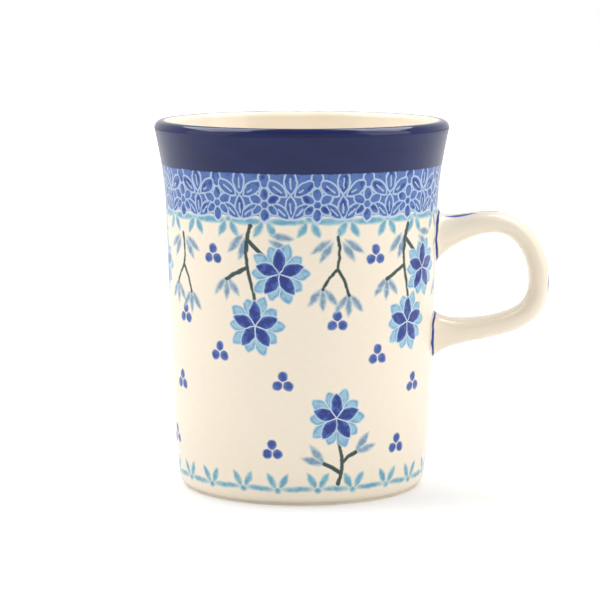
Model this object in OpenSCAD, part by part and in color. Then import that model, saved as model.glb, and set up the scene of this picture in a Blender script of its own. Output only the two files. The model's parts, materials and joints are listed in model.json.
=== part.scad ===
// Straight-sided stoneware mug: a turned vessel with a luted strap handle, under five coats of glaze.
// The table is at z = 0, the vessel's axis is Z, and the handle points along +X.

/* [Vessel] */
// Height from the table to the top of the lip
mug_height = 100; // [80:1:140]
// Outside diameter at the widest part of the lip
rim_diameter = 80; // [70:1:100]
// Outside diameter of the straight wall, drawn on down to the table
base_diameter = 69.3; // [56:0.1:90]
// How much the straight wall's diameter grows for each millimetre of height
wall_taper = 0.063; // [0:0.001:0.1]
// Thickness of the wall, both glazes counted, which is also the thickness of the lip
wall_thickness = 4; // [3:0.1:6]
// Height of the flare under the lip
flare_height = 21; // [8:0.5:30]
// Height over which the wall draws in towards the heel
belly_height = 20; // [8:0.5:30]
// How far the wall draws in at the heel
belly_depth = 1.5; // [0:0.1:3]
// Radius of the heel, where the wall turns under
heel_radius = 2.6; // [2:0.1:5]
// Thickness of the floor, both glazes counted
floor_thickness = 5; // [3.5:0.1:8]
// Radius of the inside corner between the wall and the floor
floor_corner_radius = 8; // [3:0.1:14]

/* [Foot ring] */
// Width of the flat ring that the mug stands on
foot_width = 3.8; // [2:0.1:6]
// Depth of the hollow inside the foot ring
foot_recess = 1.4; // [0.8:0.1:3]
// Where the outer glaze stops on the heel, in degrees below level. The clay under it is bare.
glaze_stop = 62; // [45:1:70]

/* [Glaze] */
// Thickness of every coat of glaze
glaze_thickness = 0.35; // [0.2:0.05:0.6]
// Depth of the cobalt band, from the top of the lip
cobalt_depth = 11.4; // [4:0.1:20]
// Where the cobalt stops on the inner side of the lip, in degrees round it from the outside
cobalt_wrap = 100; // [60:1:150]

/* [Handle] */
// How far the middle of the upper root lies below the top of the lip
upper_root_drop = 31.5; // [26:0.1:40]
// Distance between the middles of the two roots
root_spacing = 27.2; // [22:0.1:34]
// Height of the upper root where it meets the wall
upper_root_height = 13.4; // [9:0.1:17]
// Height of the lower root where it meets the wall
lower_root_height = 11.6; // [9:0.1:17]
// Width of both roots round the wall
root_width = 14.4; // [11:0.1:20]
// Clear distance from the wall to the inside of the strap
finger_gap = 25.3; // [20:0.1:36]
// How far the strap's middle line rises above the upper root
crest_rise = 3.6; // [0:0.1:8]
// Height of the outermost point of the strap above the lower root
belly_rise = 14.2; // [10:0.1:18]
// Thickness of the strap
strap_thickness = 5.6; // [4:0.1:8]
// Width of the strap
strap_width = 12.4; // [9:0.1:18]
// Distance over which a root tapers into the strap
root_taper = 5; // [3:0.1:8]
// Width of the slip fillet round each root
slip_width = 0.9; // [0.6:0.1:2]

/* [Hidden] */
$fn = 128;

clay_colour = "tan";
slip_colour = "burlywood";
cream_colour = "linen";
cobalt_colour = "midnightblue";

glaze = glaze_thickness;
lip_radius = wall_thickness / 2;
lip_x = rim_diameter / 2 - lip_radius;
lip_z = mug_height - lip_radius;
cobalt_z = mug_height - cobalt_depth;
floor_z = foot_recess + floor_thickness;

profile_steps = 24;    // points along each long stretch of the profile
upper_steps = 6;       // points from the cobalt's lower edge up to the lip
corner_steps = 8;      // points round the heel, the lip and the inside corner
corner_gap = 0.5;      // height left between a stretch of wall and the round corner it runs into
belly_power = 1.8;     // how quickly the belly turns into the straight wall

// ---- The vessel's profile: x is the radius, and inset is how far a surface lies under the outer glaze ----

function cone_r(z) = base_diameter / 2 + wall_taper / 2 * z;
function flare_share(z) = max(0, min(1, (z - (lip_z - flare_height)) / flare_height));
function flare(z) = (rim_diameter / 2 - cone_r(lip_z)) * (1 - cos(90 * flare_share(z)));
function belly(z) = belly_depth * pow(max(0, 1 - z / belly_height), belly_power);
function wall_r(z) = cone_r(z) + flare(z) - belly(z);

// The slope of the wall at a height, as an angle away from upright
function lean(z) = atan2(wall_r(z + 0.05) - wall_r(z - 0.05), 0.1);

function arc(x, z, r, from, to, steps = corner_steps) =
    [for (i = [0 : steps]) let (a = from + (to - from) * i / steps) [x + r * cos(a), z + r * sin(a)]];

// The heel's circle touches the wall at the height of its own radius
heel_top = heel_radius;
heel_x = wall_r(heel_top) - heel_radius * cos(lean(heel_top));
heel_z = heel_top + heel_radius * sin(lean(heel_top));

// The foot ring's outer face drops straight down from the clay at the edge of the glaze
foot_outer = heel_x + (heel_radius - glaze) * cos(glaze_stop);
foot_inner = foot_outer - foot_width;

// The lip's circle starts where the flare leans as much as it does
lip_lean = lean(lip_z - corner_gap);

function heel(inset) = arc(heel_x, heel_z, heel_radius - inset, -glaze_stop, -lean(heel_top));

function wall(inset, z0, z1, steps = profile_steps) =
    [for (i = [0 : steps]) let (z = z0 + (z1 - z0) * i / steps) [wall_r(z) - inset, z]];

function lip(inset, from, to) = arc(lip_x, lip_z, lip_radius - inset, from, to);

// The inside, from under the lip down to the middle of the floor
corner_lean = lean(floor_z + floor_corner_radius);
corner_top = floor_z + floor_corner_radius * (1 - sin(corner_lean));
corner_x = wall_r(corner_top) - wall_thickness - floor_corner_radius * cos(corner_lean);
corner_z = floor_z + floor_corner_radius;
function inside(inset) = concat(
    wall(wall_thickness - inset, lip_z - corner_gap, corner_top + corner_gap),
    arc(corner_x, corner_z, floor_corner_radius + inset, -corner_lean, -90),
    [[0, floor_z - inset]]);

// The outside below and above the cobalt's lower edge. The clay and the glazes share these points.
function lower_outside(inset) =
    concat(heel(inset), wall(inset, heel_top + corner_gap, cobalt_z));
function upper_outside(inset) = concat(
    wall(inset, cobalt_z, lip_z - lip_radius * sin(lip_lean) - 2 * corner_gap, upper_steps),
    lip(inset, -lip_lean, cobalt_wrap));
function inner_lip(inset) = lip(inset, cobalt_wrap, 180);

// The clay: foot ring, heel, wall, lip and inside, all one glaze thickness under the visible surface
function clay_profile() = concat(
    [[0, foot_recess + glaze], [foot_inner, foot_recess + glaze], [foot_inner, 0], [foot_outer, 0]],
    lower_outside(glaze), upper_outside(glaze), inner_lip(glaze), inside(glaze));

// ---- The handle: a spine in the XZ plane, and an oval section that widens towards each root ----

rise_steps = 9;        // rings along each of the spine's three curves
turn_steps = 14;
fall_steps = 16;
section_sides = 24;    // points round the section
section_power = 0.84;  // 1 would be a plain ellipse, and less is squarer

// The strap's middle line is three curves that meet at the crest and at the outermost point
crest_inset = 12.7;    // how far the crest lies inside the outermost point
rise_reach = 5.5;      // how far the rise runs on from the root, and up to the crest, before it bends
rise_share = 0.4;      // how much of the crest's rise comes within that reach of the root
turn_reach = 7.4;      // how far the line runs on level from the crest
turn_share = 0.56;     // how far up from the outermost point the line stays upright
fall_reach = 11.2;     // how far the line runs on down from the outermost point
lower_reach = 19;      // how far out from the wall the line settles into the lower root
lower_lift = 1.9;      // how far above the lower root it is there
hollow_share = 0.36;   // how far a fillet is drawn in to its corner

upper_root_z = mug_height - upper_root_drop;
lower_root_z = upper_root_z - root_spacing;
outermost_x = wall_r(upper_root_z) + finger_gap + strap_thickness / 2;
outermost_z = lower_root_z + belly_rise;
crest_z = upper_root_z + crest_rise;
crest_x = outermost_x - crest_inset;
upper_x = wall_r(upper_root_z) - glaze;
lower_x = wall_r(lower_root_z) - glaze;

function bezier(p, t) =
    pow(1 - t, 3) * p[0] + 3 * t * pow(1 - t, 2) * p[1] + 3 * t * t * (1 - t) * p[2] + pow(t, 3) * p[3];
function bezier_slope(p, t) =
    let (d = 3 * pow(1 - t, 2) * (p[1] - p[0]) + 6 * t * (1 - t) * (p[2] - p[1]) + 3 * t * t * (p[3] - p[2]))
    atan2(d[1], d[0]);

rise = [[upper_x, upper_root_z], [upper_x + rise_reach, upper_root_z + crest_rise * rise_share],
        [crest_x - rise_reach, crest_z], [crest_x, crest_z]];
turn = [[crest_x, crest_z], [crest_x + turn_reach, crest_z],
        [outermost_x, outermost_z + (crest_z - outermost_z) * turn_share], [outermost_x, outermost_z]];
fall = [[outermost_x, outermost_z], [outermost_x, outermost_z - fall_reach],
        [lower_x + lower_reach, lower_root_z + lower_lift], [lower_x, lower_root_z]];

// Each station is [point on the spine, slope in degrees]
function along(p, steps, end) = [for (i = [0 : end]) [bezier(p, i / steps), bezier_slope(p, i / steps)]];
stations = concat(
    along(rise, rise_steps, rise_steps - 1),
    along(turn, turn_steps, turn_steps - 1),
    along(fall, fall_steps, fall_steps));
last = len(stations) - 1;

function upper_pull(p) = exp(-norm(p - rise[0]) / root_taper);
function lower_pull(p) = exp(-norm(p - fall[3]) / root_taper);
function section_half_height(p) = strap_thickness / 2
    + (upper_root_height - strap_thickness) / 2 * upper_pull(p)
    + (lower_root_height - strap_thickness) / 2 * lower_pull(p);
function section_half_width(p) = strap_width / 2
    + (root_width - strap_width) / 2 * (upper_pull(p) + lower_pull(p));

function signed_power(v, e) = sign(v) * pow(abs(v), e);
function oval(a, half_width, half_height) =
    [half_width * signed_power(cos(a), section_power), half_height * signed_power(sin(a), section_power)];

// A ring of the strap, grown by grow. Near a root the section stands upright, as the wall does.
function strap_ring(i, grow) =
    let (
        p = stations[i][0],
        upright = upper_pull(p) + lower_pull(p),
        slope = stations[i][1],
        wall_slope = slope > -90 ? 0 : -180,
        tilt = slope + (wall_slope - slope) * min(1, upright),
        half_width = section_half_width(p) - glaze + grow,
        half_height = section_half_height(p) - glaze + grow
    ) [for (k = [0 : section_sides - 1])
        let (o = oval(360 * k / section_sides, half_width, half_height))
        [p[0] - sin(tilt) * o[1], o[0], p[1] + cos(tilt) * o[1]]];

// A ring on the clay wall round a root, grown by grow and lifted off the clay by lift
function root_ring(i, scale, grow, lift) =
    let (
        p = stations[i][0],
        side = i == 0 ? 1 : -1,
        half_width = (section_half_width(p) - glaze) * scale + grow,
        half_height = (section_half_height(p) - glaze) * scale + grow
    ) [for (k = [0 : section_sides - 1])
        let (
            o = oval(360 * k / section_sides, half_width, half_height),
            z = p[1] + side * o[1],
            r = wall_r(z) - glaze + lift
        ) [sqrt(r * r - o[0] * o[0]), o[0], z]];

function flat(lists) = [for (l = lists) for (v = l) v];

// The fillet's own ring: halfway between the wall and the strap, drawn in to make the fillet hollow
function fillet_ring(i, lift) =
    let (
        near = i == 0 ? 1 : last - 1,
        on_wall = root_ring(i, 1, slip_width + lift, lift),
        on_strap = strap_ring(near, lift),
        corner = root_ring(i, 1, lift, lift)
    ) [for (k = [0 : section_sides - 1])
        (on_wall[k] + on_strap[k]) * (1 - hollow_share) / 2 + corner[k] * hollow_share];

// The two triangles on each side between ring j and ring j_next, in a list of rings' points
function skin(j, j_next) = [for (k = [0 : section_sides - 1]) each
    let (
        k_next = (k + 1) % section_sides,
        a = j * section_sides + k,
        b = j * section_sides + k_next,
        c = j_next * section_sides + k,
        d = j_next * section_sides + k_next
    ) [[a, b, c], [b, d, c]]];

// A closed tube through rings whose last one joins the first: the fillets and the handle's glaze
module ring_solid(rings) {
    n = len(rings);
    polyhedron(points = flat(rings), faces = [for (j = [0 : n - 1]) each skin(j, (j + 1) % n)]);
}

// A solid rod through rings, closed at both ends by a fan round a middle point
module capped_solid(rings, first_middle, last_middle) {
    n = len(rings);
    m = section_sides;
    polyhedron(points = concat(flat(rings), [first_middle, last_middle]), faces = concat(
        [for (j = [0 : n - 2]) each skin(j, j + 1)],
        [for (k = [0 : m - 1]) [n * m, (k + 1) % m, k]],
        [for (k = [0 : m - 1]) [n * m + 1, (n - 1) * m + k, (n - 1) * m + (k + 1) % m]]
    ));
}

// ---- The pieces ----

function backwards(list) = [for (i = [len(list) - 1 : -1 : 0]) list[i]];

module turned(profile) { rotate_extrude() polygon(profile); }

module vessel_body() { color(clay_colour) turned(clay_profile()); }

module handle() {
    color(clay_colour) capped_solid(
        concat(
            [root_ring(0, 1 / 3, 0, 0), root_ring(0, 2 / 3, 0, 0), root_ring(0, 1, 0, 0)],
            [for (i = [1 : last - 1]) strap_ring(i, 0)],
            [root_ring(last, 1, 0, 0), root_ring(last, 2 / 3, 0, 0), root_ring(last, 1 / 3, 0, 0)]),
        [upper_x, 0, upper_root_z], [lower_x, 0, lower_root_z]);
}

module upper_slip_joint() {
    color(slip_colour) ring_solid([
        root_ring(0, 1, slip_width, 0), fillet_ring(0, 0), strap_ring(1, 0), root_ring(0, 1, 0, 0)]);
}

module lower_slip_joint() {
    color(slip_colour) ring_solid([
        root_ring(last, 1, 0, 0), strap_ring(last - 1, 0), fillet_ring(last, 0),
        root_ring(last, 1, slip_width, 0)]);
}

// The opening in the outer glaze round a root: a prism through the outline that the handle's glaze ends on
module root_window(i) {
    outline = root_ring(i, 1, slip_width + glaze, 0);
    rotate([90, 0, 90]) linear_extrude(height = rim_diameter) polygon([for (p = outline) [p[1], p[2]]]);
}

module outer_glaze() {
    color(cream_colour) difference() {
        turned(concat(lower_outside(0), backwards(lower_outside(glaze))));
        root_window(0);
        root_window(last);
    }
}

module rim_glaze() {
    color(cobalt_colour) turned(concat(upper_outside(0), backwards(upper_outside(glaze))));
}

module liner_glaze() {
    color(cream_colour) turned(concat(
        inner_lip(0), inside(0), backwards(inside(glaze)), backwards(inner_lip(glaze))));
}

module handle_glaze() {
    edge = slip_width + glaze;
    color(cream_colour) ring_solid(concat(
        [root_ring(0, 1, slip_width, 0), root_ring(0, 1, edge, 0), root_ring(0, 1, edge, glaze)],
        [fillet_ring(0, glaze)],
        [for (i = [1 : last - 1]) strap_ring(i, glaze)],
        [fillet_ring(last, glaze)],
        [root_ring(last, 1, edge, glaze), root_ring(last, 1, edge, 0), root_ring(last, 1, slip_width, 0)],
        [fillet_ring(last, 0)],
        [for (i = [last - 1 : -1 : 1]) strap_ring(i, 0)],
        [fillet_ring(0, 0)]));
}

module foot_glaze() {
    color(cream_colour) translate([0, 0, foot_recess]) cylinder(r = foot_inner, h = glaze);
}

vessel_body();
handle();
upper_slip_joint();
lower_slip_joint();
outer_glaze();
rim_glaze();
liner_glaze();
handle_glaze();
foot_glaze();
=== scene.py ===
"""A stoneware mug with a flared lip, a strap handle and a stamped blue flower pattern under clear glaze.

The clay vessel, its handle and the two slip joints are the frame's own solids. The coats of glaze that
show are modelled here as smooth shells on the same sizes. Lengths are millimetres until a mesh is made,
and angles are degrees. The pattern is painted by node groups that read Object coordinates.
"""

import json
import logging
import math
from dataclasses import dataclass, field
from enum import Enum
from functools import cached_property
from typing import Callable, ClassVar, Iterable, Sequence

import bpy
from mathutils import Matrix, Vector

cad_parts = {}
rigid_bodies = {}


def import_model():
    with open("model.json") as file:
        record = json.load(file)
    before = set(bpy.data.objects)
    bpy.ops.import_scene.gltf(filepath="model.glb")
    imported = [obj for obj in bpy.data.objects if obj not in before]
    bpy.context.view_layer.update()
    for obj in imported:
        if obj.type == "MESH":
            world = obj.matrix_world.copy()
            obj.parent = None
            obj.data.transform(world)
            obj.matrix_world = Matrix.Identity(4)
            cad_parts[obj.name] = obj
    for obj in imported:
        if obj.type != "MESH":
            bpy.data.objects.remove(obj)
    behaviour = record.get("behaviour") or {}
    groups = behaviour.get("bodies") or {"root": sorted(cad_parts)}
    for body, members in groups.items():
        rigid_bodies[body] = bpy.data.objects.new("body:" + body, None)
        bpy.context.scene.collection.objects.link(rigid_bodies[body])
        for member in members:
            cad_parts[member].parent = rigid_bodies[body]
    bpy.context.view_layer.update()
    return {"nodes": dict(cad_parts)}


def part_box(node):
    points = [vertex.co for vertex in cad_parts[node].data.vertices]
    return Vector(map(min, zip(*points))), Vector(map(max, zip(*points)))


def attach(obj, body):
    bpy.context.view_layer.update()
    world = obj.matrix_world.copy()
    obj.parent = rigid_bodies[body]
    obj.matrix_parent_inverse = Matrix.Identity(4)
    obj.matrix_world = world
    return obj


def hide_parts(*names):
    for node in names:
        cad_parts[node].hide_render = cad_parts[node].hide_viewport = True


Point = tuple[float, float]
Socket = bpy.types.NodeSocket
Feed = Socket | float | Sequence[float]
Stroke = tuple[Point, Point, float]

MM = 0.001
FAR = 99.0
GLAZE_IOR = 1.47
GLAZE_ROUGHNESS = 0.07
STAMP_RADIUS = 36.5
log = logging.getLogger("mug")


# ---------------------------------------------------------------------------------------------------------
# Sizes
# ---------------------------------------------------------------------------------------------------------


def arc(centre: Point, radius: float, start: float, end: float, steps: int) -> list[Point]:
    """Points along a round stretch of a profile.

    Args:
        centre: The circle's centre, as radius from the axis and height.
        radius: The circle's radius.
        start: The first point's angle.
        end: The last point's angle.
        steps: How many stretches the arc is cut into.

    Returns:
        The points, both ends included.
    """
    angles = (math.radians(start + (end - start) * i / steps) for i in range(steps + 1))
    return [(centre[0] + radius * math.cos(a), centre[1] + radius * math.sin(a)) for a in angles]


@dataclass(frozen=True)
class VesselSizes:
    """The turned vessel's sizes, and the curves that follow from them."""

    height: float
    lip_radius_outside: float
    cobalt_height: float
    base_radius: float = 34.65
    taper: float = 0.0315
    wall: float = 4.0
    flare_height: float = 21.0
    belly_height: float = 20.0
    belly_depth: float = 1.5
    belly_power: float = 1.8
    heel_radius: float = 2.6
    glaze_stop: float = 62.0
    floor_height: float = 6.4
    floor_corner: float = 8.0
    glaze: float = 0.35
    cobalt_wrap: float = 100.0

    @classmethod
    def from_frame(cls) -> "VesselSizes":
        """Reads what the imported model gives: the height, the lip's radius and the cobalt's lower edge."""
        low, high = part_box("rim_glaze")
        return cls(height=high.z / MM, lip_radius_outside=high.x / MM, cobalt_height=low.z / MM)

    @property
    def lip_bead(self) -> float:
        """Radius of the round lip."""
        return self.wall / 2

    @property
    def lip_centre(self) -> Point:
        """Centre of the lip's round section."""
        return self.lip_radius_outside - self.lip_bead, self.height - self.lip_bead

    def cone(self, z: float) -> float:
        """Radius of the plain wall at a height, with no flare and no belly."""
        return self.base_radius + self.taper * z

    def radius(self, z: float) -> float:
        """Radius of the glazed outside at a height.

        Args:
            z: The height.

        Returns:
            The radius.
        """
        lip_z = self.lip_centre[1]
        share = min(1.0, max(0.0, (z - lip_z + self.flare_height) / self.flare_height))
        flare = (self.lip_radius_outside - self.cone(lip_z)) * (1 - math.cos(math.pi / 2 * share))
        belly = self.belly_depth * max(0.0, 1 - z / self.belly_height) ** self.belly_power
        return self.cone(z) + flare - belly

    def lean(self, z: float) -> float:
        """How far the wall leans outwards at a height."""
        step = 0.05
        return math.degrees(math.atan2(self.radius(z + step) - self.radius(z - step), 2 * step))

    def wall_line(self, depth: float, bottom: float, top: float, steps: int) -> list[Point]:
        """The wall's line between two heights, a depth under the outside."""
        heights = (bottom + (top - bottom) * i / steps for i in range(steps + 1))
        return [(self.radius(z) - depth, z) for z in heights]

    def heel(self, depth: float, steps: int = 10) -> list[Point]:
        """The round heel, from the glaze's lower edge up to the wall.

        Args:
            depth: How far under the surface the line lies.
            steps: How many stretches it is cut into.

        Returns:
            The line's points, from the bottom up.
        """
        lean = self.lean(self.heel_radius)
        x = self.radius(self.heel_radius) - self.heel_radius * math.cos(math.radians(lean))
        z = self.heel_radius * (1 + math.sin(math.radians(lean)))
        return arc((x, z), self.heel_radius - depth, -self.glaze_stop, -lean, steps)

    def lip(self, depth: float, start: float, end: float, steps: int = 12) -> list[Point]:
        """A stretch of the round lip, a depth under its surface."""
        return arc(self.lip_centre, self.lip_bead - depth, start, end, steps)

    def inside(self, rise: float, steps: int = 48) -> list[Point]:
        """The inside from under the lip to the middle of the floor, a rise outside the visible surface.

        Args:
            rise: How far outside the visible surface the line lies.
            steps: How many stretches the wall is cut into.

        Returns:
            The line's points, from the top down.
        """
        lean = math.radians(self.lean(self.floor_height + self.floor_corner))
        top = self.floor_height + self.floor_corner * (1 - math.sin(lean))
        corner_x = self.radius(top) - self.wall - self.floor_corner * math.cos(lean)
        corner = (corner_x, self.floor_height + self.floor_corner)
        line = self.wall_line(self.wall - rise, self.lip_centre[1] - 0.5, top + 0.5, steps)
        floor = [(corner_x * share, self.floor_height - rise) for share in (0.75, 0.5, 0.25, 0.0)]
        return line + arc(corner, self.floor_corner + rise, -math.degrees(lean), -90.0, 16) + floor


@dataclass(frozen=True)
class Station:
    """One ring of the strap: its middle in the XZ plane, its tilt and its half sizes."""

    x: float
    z: float
    tilt: float
    half_width: float
    half_height: float

    @property
    def middle(self) -> Vector:
        """The ring's middle, in metres."""
        return Vector((self.x, 0.0, self.z)) * MM


def curve_point(knots: Sequence[Point], t: float) -> tuple[Point, float]:
    """A point on a cubic curve through four knots.

    Args:
        knots: The start, the two handles and the end.
        t: How far along the curve, from 0 to 1.

    Returns:
        The point, and the curve's slope there in degrees.
    """
    u = 1 - t
    weights = (u**3, 3 * t * u * u, 3 * t * t * u, t**3)
    slopes = (-3 * u * u, 3 * u * u - 6 * t * u, 6 * t * u - 3 * t * t, 3 * t * t)
    x, z = (sum(w * k[axis] for w, k in zip(weights, knots)) for axis in (0, 1))
    dx, dz = (sum(w * k[axis] for w, k in zip(slopes, knots)) for axis in (0, 1))
    return (x, z), math.degrees(math.atan2(dz, dx))


@dataclass(frozen=True)
class HandleSizes:
    """The strap handle's sizes, and the line that its middle follows."""

    vessel: VesselSizes
    upper_drop: float = 31.5
    root_spacing: float = 27.2
    upper_height: float = 13.4
    lower_height: float = 11.6
    root_width: float = 14.4
    finger_gap: float = 25.3
    crest_rise: float = 3.6
    belly_rise: float = 14.2
    thickness: float = 5.6
    width: float = 12.4
    root_taper: float = 5.0
    fillet: float = 1.25
    squareness: float = 0.84

    @property
    def upper(self) -> Point:
        """Middle of the upper root, on the clay wall."""
        z = self.vessel.height - self.upper_drop
        return self.vessel.radius(z) - self.vessel.glaze, z

    @property
    def lower(self) -> Point:
        """Middle of the lower root, on the clay wall."""
        z = self.upper[1] - self.root_spacing
        return self.vessel.radius(z) - self.vessel.glaze, z

    @property
    def outermost(self) -> Point:
        """The point of the strap's middle line that lies furthest out."""
        x = self.upper[0] + self.vessel.glaze + self.finger_gap + self.thickness / 2
        return x, self.lower[1] + self.belly_rise

    @cached_property
    def crest(self) -> Point:
        """The highest point of the strap's middle line."""
        return self.outermost[0] - 12.7, self.upper[1] + self.crest_rise

    def pull(self, point: Point, root: Point) -> float:
        """How strongly a root shapes the section at a point, from 0 to 1."""
        return math.exp(-math.dist(point, root) / self.root_taper)

    def station(self, point: Point, slope: float) -> Station:
        """The strap's ring at a point of its middle line.

        Args:
            point: The middle line's point.
            slope: The line's slope there.

        Returns:
            The ring.
        """
        up, down = self.pull(point, self.upper), self.pull(point, self.lower)
        upright = 0.0 if slope > -90 else -180.0
        tilt = slope + (upright - slope) * min(1.0, up + down)
        thick = self.thickness + (self.upper_height - self.thickness) * up
        thick += (self.lower_height - self.thickness) * down
        wide = self.width + (self.root_width - self.width) * (up + down)
        return Station(point[0], point[1], tilt, wide / 2, thick / 2)

    def stations(self, rise: int = 9, turn: int = 14, fall: int = 16) -> list[Station]:
        """Every ring of the strap, from the upper root round to the lower one.

        Args:
            rise: How many rings the upper stretch has.
            turn: How many the bend has.
            fall: How many the lower stretch has.

        Returns:
            The rings in order.
        """
        (ux, uz), (lx, lz), (ox, oz), (cx, cz) = self.upper, self.lower, self.outermost, self.crest
        curves = (
            (((ux, uz), (ux + 5.5, uz + self.crest_rise * 0.4), (cx - 5.5, cz), (cx, cz)), rise),
            (((cx, cz), (cx + 7.4, cz), (ox, oz + (cz - oz) * 0.56), (ox, oz)), turn),
            (((ox, oz), (ox, oz - 11.2), (lx + 19.0, lz + 1.9), (lx, lz)), fall),
        )
        found = [self.station(*curve_point(k, i / n)) for k, n in curves for i in range(n)]
        return found + [self.station(*curve_point(curves[-1][0], 1.0))]


# ---------------------------------------------------------------------------------------------------------
# Modelling
# ---------------------------------------------------------------------------------------------------------


class Mode(Enum):
    """The two modes that pieces are made in."""

    OBJECT = "OBJECT"
    EDIT = "EDIT"


def enter(mode: Mode) -> None:
    """Switches the active object to a mode."""
    bpy.ops.object.mode_set(mode=mode.value)


def deselect_everything() -> None:
    """Leaves nothing selected and nothing active."""
    for thing in bpy.context.view_layer.objects:
        thing.select_set(False)
    bpy.context.view_layer.objects.active = None


def name_active(name: str) -> bpy.types.Object:
    """Names the active object and its mesh, and returns the object.

    Args:
        name: The name.

    Returns:
        The object.
    """
    piece = bpy.context.active_object
    piece.name = piece.data.name = name
    return piece


def close_and_orient(merge: float = 1e-6) -> None:
    """Merges doubles over the whole mesh and turns its faces outwards, in edit mode.

    Args:
        merge: How close two points have to be, in metres.
    """
    bpy.ops.mesh.select_all(action="SELECT")
    bpy.ops.mesh.remove_doubles(threshold=merge)
    bpy.ops.mesh.normals_make_consistent(inside=False)


def turned(name: str, profile: Sequence[Point], closed: bool, segments: int = 224) -> bpy.types.Object:
    """Turns a profile round the Z axis, as on a wheel.

    Args:
        name: The new object's name.
        profile: The section's points, as radius and height in millimetres.
        closed: Whether the section's end joins its start. One that starts and ends on the axis doesn't.
        segments: How many stretches the circle is cut into.

    Returns:
        The new object, a closed shell with its faces outwards.
    """
    deselect_everything()
    start = Vector((profile[0][0], 0.0, profile[0][1])) * MM
    bpy.ops.mesh.primitive_plane_add(size=MM, location=start)
    piece = name_active(name)
    bpy.ops.object.transform_apply(location=True, rotation=True, scale=True)
    enter(Mode.EDIT)
    bpy.ops.mesh.merge(type="CENTER")
    line = list(profile[1:]) + ([profile[0]] if closed else [])
    was = profile[0]
    for now in line:
        step = ((now[0] - was[0]) * MM, 0.0, (now[1] - was[1]) * MM)
        bpy.ops.mesh.extrude_vertices_move(TRANSFORM_OT_translate={"value": step})
        was = now
    bpy.ops.mesh.select_all(action="SELECT")
    bpy.ops.mesh.remove_doubles(threshold=1e-7)
    bpy.ops.mesh.select_all(action="SELECT")
    bpy.ops.mesh.spin(steps=segments, angle=math.tau, center=(0, 0, 0), axis=(0, 0, 1))
    close_and_orient()
    enter(Mode.OBJECT)
    bpy.ops.object.shade_smooth_by_angle(angle=math.radians(50))
    return piece


def apply_modifier(piece: bpy.types.Object, kind: str, **settings: object) -> None:
    """Adds a modifier to the active piece, sets it up and applies it.

    Args:
        piece: The piece.
        kind: The modifier's kind.
        **settings: Its properties by name.
    """
    modifier = piece.modifiers.new(kind.title(), kind)
    for name, value in settings.items():
        setattr(modifier, name, value)
    bpy.ops.object.modifier_apply(modifier=modifier.name)


# ---------------------------------------------------------------------------------------------------------
# Node wiring
# ---------------------------------------------------------------------------------------------------------


def colour(red: int, green: int, blue: int) -> tuple[float, float, float, float]:
    """A paint colour from its display values, 0 to 255, as the linear values that shaders take.

    Args:
        red: The red value.
        green: The green value.
        blue: The blue value.

    Returns:
        The linear colour, with full cover.
    """

    def linear(value: int) -> float:
        """One display value as a linear one."""
        share = value / 255
        return share / 12.92 if share <= 0.04045 else ((share + 0.055) / 1.055) ** 2.4

    return linear(red), linear(green), linear(blue), 1.0


class Kind(Enum):
    """The kinds of value that a node group takes or gives."""

    NUMBER = "NodeSocketFloat"
    VECTOR = "NodeSocketVector"
    COLOUR = "NodeSocketColor"


SCALAR_RESULTS = {"LENGTH", "DOT_PRODUCT", "DISTANCE"}


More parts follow.
